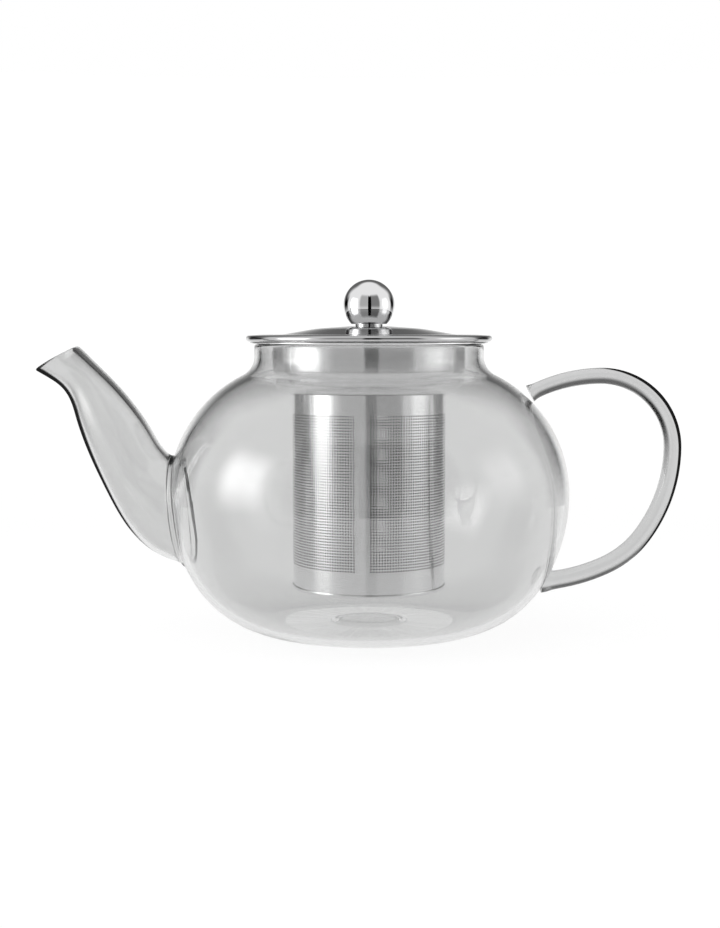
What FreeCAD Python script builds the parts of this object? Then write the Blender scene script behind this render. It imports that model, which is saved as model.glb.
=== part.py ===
"""Glass teapot with a lift-out steel infuser and a steel lid, in millimetres.

The origin is the centre of the foot, +Z is up, the spout points along -X and the handle along +X.
"""

import FreeCAD, Part
import Sketcher
import math
import os
import re

# alias, value, meaning. Lengths are in millimetres and angles in degrees.
SIZES = [
    ("body_radius", 78.0, "widest outside radius of the bowl"),
    ("foot_inset", 44.6, "how far the flat foot stands in from the bowl's side"),
    ("foot_corner", 40.8, "radius of the curve that leaves the foot"),
    ("belly_height", 53.9, "height of the widest ring of the bowl"),
    ("neck_radius", 44.6, "outside radius of the neck"),
    ("neck_fillet", 8.0, "radius of the hollow curve below the neck"),
    ("neck_start", 107.5, "height where the neck becomes a cylinder"),
    ("rim_height", 112.4, "height of the glass rim"),
    ("glass_wall", 2.6, "wall of the bowl"),
    ("punt_radius", 11.4, "radius of the raised button in the floor"),
    ("punt_rise", 2.4, "height of that button"),
    ("punt_slope", 2.5, "how much wider its foot is than its top"),
    ("spout_wall", 1.8, "wall of the spout"),
    ("spout_root_height", 47.0, "height of the spout's axis at its root"),
    ("handle_reach", 40.7, "from the bowl's side to the handle's axis"),
    ("handle_height", 71.8, "height of the outermost point of the handle"),
    ("rod_diameter", 6.8, "diameter of the glass rod"),
    ("handle_crown", 28.1, "bend radius of the upper corner"),
    ("handle_crown_turn", 90.6, "turn of the upper corner"),
    ("handle_bridge", 60.7, "bend radius of the run back to the bowl"),
    ("handle_bridge_turn", 27.0, "turn of that run"),
    ("handle_back", 58.0, "bend radius of the long grip side"),
    ("handle_back_turn", 37.0, "turn of the grip side"),
    ("handle_heel", 37.2, "bend radius of the lower corner"),
    ("handle_heel_turn", 27.8, "turn of the lower corner"),
    ("handle_foot", 69.3, "bend radius of the lowest run"),
    ("handle_foot_turn", 22.0, "turn of the lowest run"),
    ("seat_gap", 0.1, "play where a loose piece rests on another"),
    ("sheet", 0.6, "steel sheet of the infuser"),
    ("flange_overhang", 1.7, "how far the flange reaches past the neck"),
    ("neck_play", 4.0, "space between the infuser cup and the neck"),
    ("cup_depth", 15.5, "from the flange to the cup's lower corner"),
    ("cup_corner", 7.0, "outside radius of that corner"),
    ("shoulder_drop", 3.7, "from that corner down to the tube"),
    ("tube_radius", 29.8, "outside radius of the infuser tube"),
    ("tube_floor", 17.2, "height of the infuser's lowest face"),
    ("crimp_height", 1.4, "height of the crimped rim of the base"),
    ("crimp_wall", 0.4, "wall of the crimped rim"),
    ("lid_sheet", 0.6, "steel sheet of the lid"),
    ("lid_overhang", 2.0, "how far the rolled edge's centre reaches past the neck"),
    ("lid_bead", 1.2, "radius of the rolled edge"),
    ("lid_rise", 1.5, "from the rolled edge's centre to the lid's flat ring"),
    ("lid_ring_inside", 3.0, "how far the lid's flat ring reaches inside the locating ring"),
    ("lid_ring_outside", 5.0, "how far the lid's flat ring reaches outside it"),
    ("dome_rise", 3.3, "from the flat ring to the top of the dome"),
    ("dome_flat", 7.0, "radius of the flat top that carries the knob"),
    ("vent_radius", 1.35, "radius of the steam vent"),
    ("vent_offset", 22.7, "from the lid's axis to the vent, on the spout's side"),
    ("skirt_play", 0.4, "play of the locating ring in the infuser cup"),
    ("skirt_height", 9.0, "height of the locating ring"),
    ("knob_radius", 9.95, "radius of the ball"),
    ("knob_sink", 7.2, "from the ball's centre down to its flat underside"),
    ("knob_neck_radius", 5.4, "radius of the spacer ring"),
    ("knob_neck_height", 0.8, "height of the spacer ring"),
    ("insert_radius", 3.2, "outside radius of the threaded bush"),
    ("insert_length", 7.0, "length of the threaded bush"),
    ("screw_radius", 2.0, "radius of the screw's shank"),
    ("screw_play", 0.05, "play around the shank"),
    ("screw_head_radius", 3.8, "radius of the screw's head"),
    ("screw_head_height", 2.4, "height of the screw's head"),
    ("washer_radius", 5.0, "radius of the washer"),
    ("washer_height", 0.8, "thickness of the washer"),
]

# Sections of the spout, root first: reach past the bowl's side, rise above the root's axis,
# lean of the section's axis above the horizontal, and outside diameter.
SPOUT_SECTIONS = [
    (-18.0, -1.0, 10.0, 41.0),
    (3.0, 3.2, 18.0, 36.6),
    (12.6, 14.4, 45.0, 28.6),
    (18.6, 25.8, 58.0, 26.2),
    (27.3, 42.0, 57.0, 21.0),
    (36.8, 54.9, 50.0, 16.2),
    (42.9, 59.4, 61.0, 18.9),
]


def size_rows():
    """Every row of the sheet: alias, value, meaning."""
    rows = list(SIZES)
    for letter, section in zip("abcdefg", SPOUT_SECTIONS):
        reach, rise, lean, width = section
        rows.append((f"spout_reach_{letter}", reach, "spout section: past the bowl's side"))
        rows.append((f"spout_rise_{letter}", rise, "spout section: above the root's axis"))
        rows.append((f"spout_lean_{letter}", lean, "spout section: lean of its axis"))
        rows.append((f"spout_width_{letter}", width, "spout section: outside diameter"))
    return rows


def make_sizes(doc):
    """Put every driving size in the sheet, one alias a row."""
    sheet = doc.addObject("Spreadsheet::Sheet", "Sizes")
    for row, (alias, value, meaning) in enumerate(size_rows(), start=1):
        sheet.set(f"A{row}", meaning)
        sheet.set(f"B{row}", str(value))
        sheet.setAlias(f"B{row}", alias)
    doc.recompute()
    return sheet


def formula(text):
    """Write the bare size names in a formula as references to the sheet."""
    names = {row[0] for row in size_rows()}
    return re.sub(r"[a-z_]+", lambda m: f"Sizes.{m[0]}" if m[0] in names else m[0], text)


def value(doc, text):
    """Value of a formula of size names, as a plain number."""
    return float(doc.Sizes.evalExpression(formula(text)))


# ---- sketches ----------------------------------------------------------------------------


def new_body(doc, name):
    body = doc.addObject("PartDesign::Body", name)
    body.Label = name
    return body


def new_sketch(body, name, role="XZ_Plane"):
    """Sketch on one of the body's own origin planes; on XZ, its x is X and its y is Z."""
    sketch = body.newObject("Sketcher::SketchObject", name)
    plane = next(f for f in body.Origin.OriginFeatures if f.Role == role)
    sketch.AttachmentSupport = [(plane, "")]
    sketch.MapMode = "FlatFace"
    return sketch


def bind(sketch, text, kind, *where):
    """Add a sized constraint and tie it to the sheet."""
    start = value(sketch.Document, text)
    if kind == "Angle":
        start = math.radians(start)
        text = f"({text}) * 1 deg"
    index = sketch.addConstraint(Sketcher.Constraint(kind, *where, start))
    sketch.setExpression(f"Constraints[{index}]", formula(text))


def pin_point(sketch, line, end, across, up):
    """Hold one end of a line at a distance across and up from the origin."""
    for text, kind, axis in ((across, "DistanceX", -2), (up, "DistanceY", -1)):
        if text == "0":
            sketch.addConstraint(Sketcher.Constraint("PointOnObject", line, end, axis))
        else:
            bind(sketch, text, kind, -1, 1, line, end)


def polygon(sketch, corners):
    """Closed outline through corners, each given as two formulas: across and up."""
    doc = sketch.Document
    points = [FreeCAD.Vector(value(doc, a), value(doc, b), 0) for a, b in corners]
    count = len(points)
    for i in range(count):
        sketch.addGeometry(Part.LineSegment(points[i], points[(i + 1) % count]), False)
    for i in range(count):
        sketch.addConstraint(Sketcher.Constraint("Coincident", i, 2, (i + 1) % count, 1))
        pin_point(sketch, i, 1, *corners[i])


def revolve(body, sketch):
    """Turn an outline once about the vertical axis."""
    turn = body.newObject("PartDesign::Revolution", "Turn")
    turn.Profile = sketch
    turn.ReferenceAxis = (sketch, ["V_Axis"])
    turn.Angle = 360
    body.Document.recompute()
    return turn


def turned_body(doc, name, corners):
    """Body turned from a closed polygon."""
    body = new_body(doc, name)
    sketch = new_sketch(body, name + "_outline")
    polygon(sketch, corners)
    revolve(body, sketch)
    return body


def round_edges(body, base, circles, radius):
    """Fillet the circular edges of a turned feature that lie at the given radii and heights."""
    doc = body.Document
    names = []
    for across, up in circles:
        r, z = value(doc, across), value(doc, up)
        for i, edge in enumerate(base.Shape.Edges, start=1):
            curve = edge.Curve
            if isinstance(curve, Part.Circle) and abs(curve.Radius - r) < 1e-4:
                if abs(curve.Center.z - z) < 1e-4:
                    names.append(f"Edge{i}")
    if len(names) != len(circles):
        raise RuntimeError(f"{body.Label}: edges to round not found")
    fillet = body.newObject("PartDesign::Fillet", "Round")
    fillet.Base = (base, names)
    fillet.setExpression("Radius", formula(radius))
    body.Tip = fillet
    doc.recompute()
    return fillet


# ---- primitives and booleans ---------------------------------------------------------------


def primitive(doc, kind, name, sizes, place):
    """Part primitive with every size and coordinate tied to the sheet."""
    shape = doc.addObject(f"Part::{kind}", name)
    for key, text in sizes.items():
        shape.setExpression(key, formula(text))
    for axis, text in place.items():
        shape.setExpression(f"Placement.Base.{axis}", formula(text))
    return shape


def cut(doc, name, base, tool):
    result = doc.addObject("Part::Cut", name)
    result.Base = base
    result.Tool = tool
    result.Label = name
    doc.recompute()
    if not result.Shape.Volume < base.Shape.Volume - 1e-3:
        raise RuntimeError(f"{name}: the cut took nothing away")
    return result


def fuse(doc, name, base, tool):
    result = doc.addObject("Part::Fuse", name)
    result.Base = base
    result.Tool = tool
    result.Label = name
    doc.recompute()
    return result


# ---- glass -----------------------------------------------------------------------------------


def bowl_arcs(doc, inset):
    """Start values for the bowl's outline: centres and radii of its four arcs, moved inward."""
    wide, foot = value(doc, "body_radius"), value(doc, "body_radius - foot_inset")
    corner, belly = value(doc, "foot_corner"), value(doc, "belly_height")
    neck, hollow = value(doc, "neck_radius"), value(doc, "neck_fillet")
    neck_start = value(doc, "neck_start")
    span = wide - foot
    lower = (span**2 + belly**2 - 2 * belly * corner) / (2 * (span - corner))
    reach, rise = neck + hollow - wide, neck_start - belly
    upper = (reach**2 + rise**2 - hollow**2) / (2 * (hollow - reach))
    return [
        (foot, corner, corner - inset),
        (wide - lower, belly, lower - inset),
        (wide - upper, belly, upper - inset),
        (neck + hollow, neck_start, hollow + inset),
    ]


def bowl_outline(sketch, inset):
    """Foot, corner, lower wall, upper wall, hollow below the neck, neck: tangent all the way."""
    doc = sketch.Document
    depth = value(doc, inset)
    arcs = bowl_arcs(doc, depth)
    (x1, z1, r1), (x2, z2, r2), (x3, z3, r3), (x4, z4, r4) = arcs
    low = math.atan2(z1 - z2, x1 - x2)
    high = math.atan2(z4 - z3, x4 - x3)
    neck = value(doc, "neck_radius") - depth
    rim = value(doc, "rim_height")

    def point(x, z):
        return FreeCAD.Vector(x, z, 0)

    def arc(x, z, r, start, end):
        circle = Part.Circle(point(x, z), FreeCAD.Vector(0, 0, 1), r)
        return Part.ArcOfCircle(circle, start, end)

    sketch.addGeometry(
        [
            Part.LineSegment(point(0, depth), point(x1, depth)),
            arc(x1, z1, r1, -math.pi / 2, low),
            arc(x2, z2, r2, low, 0),
            arc(x3, z3, r3, 0, high),
            arc(x4, z4, r4, math.pi, math.pi + high),
            Part.LineSegment(point(neck, z4), point(neck, rim)),
            Part.LineSegment(point(neck, rim), point(0, rim)),
            Part.LineSegment(point(0, rim), point(0, depth)),
        ],
        False,
    )
    joints = [("Tangent", 0, 2, 1, 1), ("Tangent", 1, 2, 2, 1), ("Tangent", 2, 2, 3, 1)]
    joints += [("Tangent", 3, 2, 4, 2), ("Tangent", 4, 1, 5, 1)]
    joints += [("Coincident", 5, 2, 6, 1), ("Coincident", 6, 2, 7, 1), ("Coincident", 7, 2, 0, 1)]
    joints += [("Horizontal", 0), ("Vertical", 5), ("Horizontal", 6)]
    joints += [("Horizontal", 2, 3, 2, 2), ("PointOnObject", 6, 2, -2)]
    for joint in joints:
        sketch.addConstraint(Sketcher.Constraint(*joint))
    pin_point(sketch, 0, 1, "0", inset)
    bind(sketch, "body_radius - foot_inset", "DistanceX", -1, 1, 0, 2)
    bind(sketch, f"foot_corner - {inset}", "Radius", 1)
    bind(sketch, f"body_radius - {inset}", "DistanceX", -1, 1, 2, 2)
    bind(sketch, "belly_height", "DistanceY", -1, 1, 2, 2)
    bind(sketch, f"neck_fillet + {inset}", "Radius", 4)
    bind(sketch, f"neck_radius - {inset}", "DistanceX", -1, 1, 5, 1)
    bind(sketch, "neck_start", "DistanceY", -1, 1, 5, 1)
    bind(sketch, "rim_height", "DistanceY", -1, 1, 5, 2)


def make_bowl(doc, name, inset):
    """Solid of the bowl's outline, moved inward by inset."""
    body = new_body(doc, name)
    sketch = new_sketch(body, name + "_outline")
    bowl_outline(sketch, inset)
    revolve(body, sketch)
    return body


def make_spout_loft(doc, name, inset):
    """Loft through the spout's round sections, each smaller all round by inset."""
    circles = []
    for letter, _ in zip("abcdefg", SPOUT_SECTIONS):
        circle = primitive(
            doc,
            "Circle",
            f"{name}_section_{letter}",
            {"Radius": f"spout_width_{letter} / 2 - {inset}"},
            {},
        )
        circle.Placement = FreeCAD.Placement(
            FreeCAD.Vector(0, 0, 0), FreeCAD.Rotation(FreeCAD.Vector(0, 1, 0), -45)
        )
        reach = f"-(body_radius + spout_reach_{letter})"
        circle.setExpression("Placement.Base.x", formula(reach))
        rise = f"spout_root_height + spout_rise_{letter}"
        circle.setExpression("Placement.Base.z", formula(rise))
        lean = f"spout_lean_{letter} - 90"
        circle.setExpression("Placement.Rotation.Angle", formula(lean))
        circles.append(circle)
    loft = doc.addObject("Part::Loft", name)
    loft.Sections = circles
    loft.Solid = True
    loft.Ruled = False
    doc.recompute()
    return loft


def make_glass(doc):
    """Bowl with neck, punt and spout opening, and the spout welded over that opening."""
    outside = make_bowl(doc, "bowl_outside", "0")
    inside = make_bowl(doc, "bowl_inside", "glass_wall")
    punt_sizes = {"Radius1": "punt_radius + punt_slope", "Radius2": "punt_radius"}
    punt_sizes["Height"] = "punt_rise"
    button = primitive(doc, "Cone", "punt_button", punt_sizes, {"z": "glass_wall"})
    dimple = primitive(doc, "Cone", "punt_dimple", punt_sizes, {"z": "0"})
    space = cut(doc, "bowl_space", inside, button)
    shell = cut(doc, "bowl_shell", outside, space)
    dimpled = cut(doc, "bowl_dimpled", shell, dimple)
    spout_outside = make_spout_loft(doc, "spout_outside", "0")
    spout_bore = make_spout_loft(doc, "spout_bore", "spout_wall")
    glass_body = cut(doc, "glass_body", dimpled, spout_bore)
    tube = cut(doc, "spout_tube", spout_outside, spout_bore)
    spout = cut(doc, "spout", tube, outside)
    return outside, [glass_body, spout]


def handle_path(sketch, chain, way):
    """Arcs that follow one another without a corner, upward (+1) or downward (-1)."""
    doc = sketch.Document
    up = FreeCAD.Vector(0, 0, 1)
    x = value(doc, "body_radius + handle_reach")
    z = value(doc, "handle_height")
    angle = 0.0
    for i, name in enumerate(chain):
        radius = value(doc, name)
        turn = math.radians(value(doc, name + "_turn"))
        centre = FreeCAD.Vector(
            x - radius * math.cos(angle), z - way * radius * math.sin(angle), 0
        )
        circle = Part.Circle(centre, up, radius)
        ends = sorted((way * angle, way * (angle + turn)))
        sketch.addGeometry(Part.ArcOfCircle(circle, *ends), False)
        angle += turn
        x = centre.x + radius * math.cos(angle)
        z = centre.y + way * radius * math.sin(angle)
        first, last = (1, 2) if way > 0 else (2, 1)
        if i:
            sketch.addConstraint(Sketcher.Constraint("Tangent", i - 1, last, i, first))
        else:
            pin_point(sketch, i, first, "body_radius + handle_reach", "handle_height")
            sketch.addConstraint(Sketcher.Constraint("Horizontal", i, 3, i, first))
        bind(sketch, name, "Radius", i)
        bind(sketch, name + "_turn", "Angle", i)


def make_handle_run(doc, name, chain, way, diameter):
    """Round rod swept along one chain of arcs from the handle's outermost point."""
    body = new_body(doc, name)
    section = new_sketch(body, name + "_section", "XY_Plane")
    section.AttachmentOffset = FreeCAD.Placement()
    section.setExpression("AttachmentOffset.Base.z", formula("handle_height"))
    centre = FreeCAD.Vector(value(doc, "body_radius + handle_reach"), 0, 0)
    circle = Part.Circle(centre, FreeCAD.Vector(0, 0, 1), value(doc, diameter) / 2)
    section.addGeometry(circle, False)
    section.addConstraint(Sketcher.Constraint("PointOnObject", 0, 3, -1))
    bind(section, "body_radius + handle_reach", "DistanceX", -1, 1, 0, 3)
    bind(section, f"{diameter} / 2", "Radius", 0)
    path = new_sketch(body, name + "_path")
    handle_path(path, chain, way)
    doc.recompute()
    pipe = body.newObject("PartDesign::AdditivePipe", "Rod")
    pipe.Profile = section
    pipe.Spine = path
    doc.recompute()
    return body


def make_handle(doc, bowl):
    """Bent glass rod whose two ends meet the bowl's outside."""
    upper = make_handle_run(
        doc, "handle_upper", ["handle_crown", "handle_bridge"], 1, "rod_diameter"
    )
    lower = make_handle_run(
        doc, "handle_lower", ["handle_back", "handle_heel", "handle_foot"], -1, "rod_diameter"
    )
    rod = fuse(doc, "handle_rod", upper, lower)
    return cut(doc, "handle", rod, bowl)


# ---- infuser ---------------------------------------------------------------------------------


def make_infuser_cup(doc):
    """Collar that hangs on the glass rim by its flange, with a rounded, sloping shoulder."""
    flange = "neck_radius + flange_overhang"
    cup = "neck_radius - glass_wall - neck_play"
    seat = "rim_height + seat_gap"
    corner = "rim_height + seat_gap - cup_depth"
    foot = "rim_height + seat_gap - cup_depth - shoulder_drop"
    body = new_body(doc, "infuser_cup")
    sketch = new_sketch(body, "infuser_cup_outline")
    polygon(
        sketch,
        [
            (flange, seat),
            (flange, f"{seat} + sheet"),
            (f"{cup} - sheet", f"{seat} + sheet"),
            (f"{cup} - sheet", f"{corner} + sheet * 0.75"),
            ("tube_radius - sheet", f"{foot} + sheet * 1.1"),
            ("tube_radius - sheet", foot),
            ("tube_radius", foot),
            (cup, corner),
            (cup, seat),
        ],
    )
    turn = revolve(body, sketch)
    outer = round_edges(body, turn, [(cup, corner)], "cup_corner")
    outer.Label = "infuser_cup_outer_corner"
    inner = round_edges(
        body, outer, [(f"{cup} - sheet", f"{corner} + sheet * 0.75")], "cup_corner - sheet"
    )
    inner.Label = "infuser_cup_inner_corner"
    return body


def make_infuser_tube(doc):
    """Rolled tube below the cup."""
    top = "rim_height + seat_gap - cup_depth - shoulder_drop"
    return turned_body(
        doc,
        "infuser_tube",
        [
            ("tube_radius - sheet", "tube_floor + sheet"),
            ("tube_radius", "tube_floor + sheet"),
            ("tube_radius", top),
            ("tube_radius - sheet", top),
        ],
    )


def make_infuser_base(doc):
    """Cap that closes the tube, with a crimped rim round the outside."""
    rim = "tube_floor + crimp_height"
    return turned_body(
        doc,
        "infuser_base",
        [
            ("0", "tube_floor"),
            ("tube_radius + crimp_wall", "tube_floor"),
            ("tube_radius + crimp_wall", rim),
            ("tube_radius", rim),
            ("tube_radius", "tube_floor + sheet"),
            ("0", "tube_floor + sheet"),
        ],
    )


# ---- lid -------------------------------------------------------------------------------------

SKIRT = "neck_radius - glass_wall - neck_play - sheet - skirt_play"  # locating ring's radius
BEAD = "rim_height + seat_gap + sheet + seat_gap + lid_bead"  # height of the bead's centre
FLAT = BEAD + " + lid_rise"  # top of the lid's flat ring
CROWN = FLAT + " + dome_rise"  # top of the dome, where the knob stands


def make_lid_cover(doc):
    """Dome, flat ring and sloping brim of one sheet, a rolled edge and a steam vent."""
    bead = "neck_radius + lid_overhang"
    inner = f"({SKIRT} - lid_ring_inside)"
    outer = f"({SKIRT} + lid_ring_outside)"
    middle = f"(dome_flat + {inner}) / 2"
    shell = turned_body(
        doc,
        "lid_pressing",
        [
            ("0", CROWN),
            ("0", f"{CROWN} - lid_sheet"),
            ("dome_flat", f"{CROWN} - lid_sheet"),
            (middle, f"{CROWN} - dome_rise * 0.29 - lid_sheet"),
            (inner, f"{FLAT} - lid_sheet"),
            (outer, f"{FLAT} - lid_sheet"),
            (bead, f"{BEAD} + lid_bead * 0.5 - lid_sheet"),
            (bead, f"{BEAD} + lid_bead * 0.5"),
            (outer, FLAT),
            (inner, FLAT),
            (middle, f"{CROWN} - dome_rise * 0.29"),
            ("dome_flat", CROWN),
        ],
    )
    roll = primitive(
        doc, "Torus", "lid_roll", {"Radius1": bead, "Radius2": "lid_bead"}, {"z": BEAD}
    )
    blank = fuse(doc, "lid_blank", shell, roll)
    vent = primitive(
        doc,
        "Cylinder",
        "lid_vent",
        {"Radius": "vent_radius", "Height": "dome_rise + 4 * lid_sheet"},
        {"x": "-vent_offset", "z": f"{FLAT} - 2 * lid_sheet"},
    )
    return cut(doc, "lid_cover", blank, vent)


def make_lid_locating_ring(doc):
    """Skirt that hangs from the flat ring into the infuser cup."""
    top = f"{FLAT} - lid_sheet"
    return turned_body(
        doc,
        "lid_locating_ring",
        [
            (f"{SKIRT} - lid_sheet", f"{top} - skirt_height"),
            (SKIRT, f"{top} - skirt_height"),
            (SKIRT, top),
            (f"{SKIRT} - lid_sheet", top),
        ],
    )


def make_knob(doc):
    """Ball with a bush in its bore, on a spacer ring."""
    base = f"{CROWN} + knob_neck_height"
    ball = primitive(
        doc, "Sphere", "ball_round", {"Radius": "knob_radius"}, {"z": f"{base} + knob_sink"}
    )
    underside = primitive(
        doc,
        "Cylinder",
        "ball_underside",
        {"Radius": "knob_radius * 2", "Height": "knob_radius * 2"},
        {"z": f"{base} - knob_radius * 2"},
    )
    bore = primitive(
        doc,
        "Cylinder",
        "ball_bore",
        {"Radius": "insert_radius", "Height": "insert_length + knob_radius"},
        {"z": f"{base} - knob_radius"},
    )
    flat_ball = cut(doc, "ball_flat", ball, underside)
    knob_ball = cut(doc, "knob_ball", flat_ball, bore)
    hole = "screw_radius + screw_play"
    insert = turned_body(
        doc,
        "knob_insert",
        [
            (hole, base),
            ("insert_radius", base),
            ("insert_radius", f"{base} + insert_length"),
            (hole, f"{base} + insert_length"),
        ],
    )
    neck = turned_body(
        doc,
        "knob_neck",
        [
            (hole, CROWN),
            ("knob_neck_radius", CROWN),
            ("knob_neck_radius", base),
            (hole, base),
        ],
    )
    return [knob_ball, insert, neck]


def make_knob_fastening(doc):
    """Pan-head screw from below, and its washer."""
    under = f"{CROWN} - lid_sheet"
    head = f"{under} - washer_height"
    tip = f"{CROWN} + knob_neck_height + insert_length - screw_radius / 2"
    washer = turned_body(
        doc,
        "knob_washer",
        [
            ("screw_radius + screw_play", head),
            ("washer_radius", head),
            ("washer_radius", under),
            ("screw_radius + screw_play", under),
        ],
    )
    screw = turned_body(
        doc,
        "knob_screw",
        [
            ("0", f"{head} - screw_head_height"),
            ("screw_head_radius", f"{head} - screw_head_height"),
            ("screw_head_radius", head),
            ("screw_radius", head),
            ("screw_radius", tip),
            ("0", tip),
        ],
    )
    return [washer, screw]


def make_screw_hole(doc, lid_cover):
    """Hole for the screw in the middle of the lid."""
    drill = primitive(
        doc,
        "Cylinder",
        "lid_screw_hole",
        {"Radius": "screw_radius + screw_play", "Height": "4 * lid_sheet"},
        {"z": f"{CROWN} - 2 * lid_sheet"},
    )
    return cut(doc, "lid_cover", lid_cover, drill)


# ---- checks and files --------------------------------------------------------------------------


def check(doc, pieces):
    """Stop if anything failed to build."""
    for item in doc.Objects:
        if "Invalid" in item.State or "Error" in item.State:
            raise RuntimeError(f"{item.Name} failed: {item.State}")
    for piece in pieces:
        if piece.Shape.isNull() or not piece.Shape.isValid():
            raise RuntimeError(f"{piece.Label} has no valid shape")
        if len(piece.Shape.Solids) != 1:
            raise RuntimeError(f"{piece.Label} has {len(piece.Shape.Solids)} solids")


def main():
    doc = FreeCAD.newDocument("Teapot")
    make_sizes(doc)
    bowl, pieces = make_glass(doc)
    pieces.append(make_handle(doc, bowl))
    pieces += [make_infuser_cup(doc), make_infuser_tube(doc), make_infuser_base(doc)]
    lid_cover = make_lid_cover(doc)
    lid_cover.Label = "lid_cover_undrilled"
    pieces.append(make_screw_hole(doc, lid_cover))
    pieces.append(make_lid_locating_ring(doc))
    pieces += make_knob(doc)
    pieces += make_knob_fastening(doc)
    doc.recompute()
    check(doc, pieces)
    os.makedirs("parts", exist_ok=True)
    for piece in pieces:
        piece.Shape.exportStep(f"parts/{piece.Label}.step")
        box = piece.Shape.BoundBox
        print(
            f"{piece.Label}: {piece.Shape.Volume:.0f} mm3, "
            f"x {box.XMin:.2f} to {box.XMax:.2f}, y {box.YMin:.2f} to {box.YMax:.2f}, "
            f"z {box.ZMin:.2f} to {box.ZMax:.2f}"
        )


main()
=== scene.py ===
"""Finished surfaces of a glass teapot with a lift-out steel infuser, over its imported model."""

import math

import bpy
import numpy as np
from bpy.props import FloatProperty, FloatVectorProperty, IntProperty, PointerProperty
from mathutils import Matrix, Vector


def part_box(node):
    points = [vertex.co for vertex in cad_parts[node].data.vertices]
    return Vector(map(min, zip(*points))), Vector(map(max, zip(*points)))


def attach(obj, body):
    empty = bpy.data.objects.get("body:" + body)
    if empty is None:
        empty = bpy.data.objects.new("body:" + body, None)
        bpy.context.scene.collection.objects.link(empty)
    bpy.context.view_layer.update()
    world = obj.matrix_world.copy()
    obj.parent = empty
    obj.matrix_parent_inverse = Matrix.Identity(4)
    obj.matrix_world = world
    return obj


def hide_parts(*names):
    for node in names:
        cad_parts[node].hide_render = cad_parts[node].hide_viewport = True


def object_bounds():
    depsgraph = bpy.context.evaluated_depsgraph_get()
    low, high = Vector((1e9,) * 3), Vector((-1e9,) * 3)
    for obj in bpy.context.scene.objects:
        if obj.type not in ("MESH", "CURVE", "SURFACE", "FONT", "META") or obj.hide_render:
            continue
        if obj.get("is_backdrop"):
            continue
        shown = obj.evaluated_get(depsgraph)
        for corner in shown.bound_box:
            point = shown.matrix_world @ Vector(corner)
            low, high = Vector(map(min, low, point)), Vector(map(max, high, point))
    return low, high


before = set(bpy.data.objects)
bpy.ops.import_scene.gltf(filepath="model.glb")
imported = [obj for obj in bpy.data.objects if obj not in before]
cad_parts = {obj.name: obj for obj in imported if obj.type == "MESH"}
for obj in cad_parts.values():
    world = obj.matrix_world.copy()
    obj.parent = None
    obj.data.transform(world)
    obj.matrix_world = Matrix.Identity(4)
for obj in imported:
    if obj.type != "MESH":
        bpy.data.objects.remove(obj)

bl_info = {
    "name": "Glass teapot",
    "version": (1, 0, 0),
    "blender": (4, 5, 0),
    "location": "View3D > Sidebar > Teapot",
    "description": "Blown glass pot, perforated steel infuser and domed steel lid",
    "category": "Object",
}

CAD_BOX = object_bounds()
MM = 0.001
HAIR = 0.04 * MM  # air left where two finished pieces are joined face to face


def box(node):
    """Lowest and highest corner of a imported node, as arrays."""
    low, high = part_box(node)
    return np.array(low), np.array(high)


POT_HIGH = box("glass_body")[1]
CUP_LOW, CUP_HIGH = box("infuser_cup")
TUBE_LOW, TUBE_HIGH = box("infuser_tube")
BASE_LOW, BASE_HIGH = box("infuser_base")
LID_LOW, LID_HIGH = box("lid_cover")
SKIRT_LOW, SKIRT_HIGH = box("lid_locating_ring")
BALL_LOW, BALL_HIGH = box("knob_ball")
NECK_LOW, NECK_HIGH = box("knob_neck")
BUSH_LOW, BUSH_HIGH = box("knob_insert")
WASHER_LOW, WASHER_HIGH = box("knob_washer")
SCREW_LOW, SCREW_HIGH = box("knob_screw")


# ---- sizes and colours that a user may change ----------------------------------------------


def length(name, description, default):
    """Property for a length in metres."""
    return FloatProperty(
        name=name, description=description, default=default, unit="LENGTH", precision=5
    )


def colour(name, description, default):
    """Property for a colour, as linear red, green and blue."""
    return FloatVectorProperty(
        name=name, description=description, default=default, subtype="COLOR", size=3,
        min=0.0, max=1.0,
    )


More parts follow.
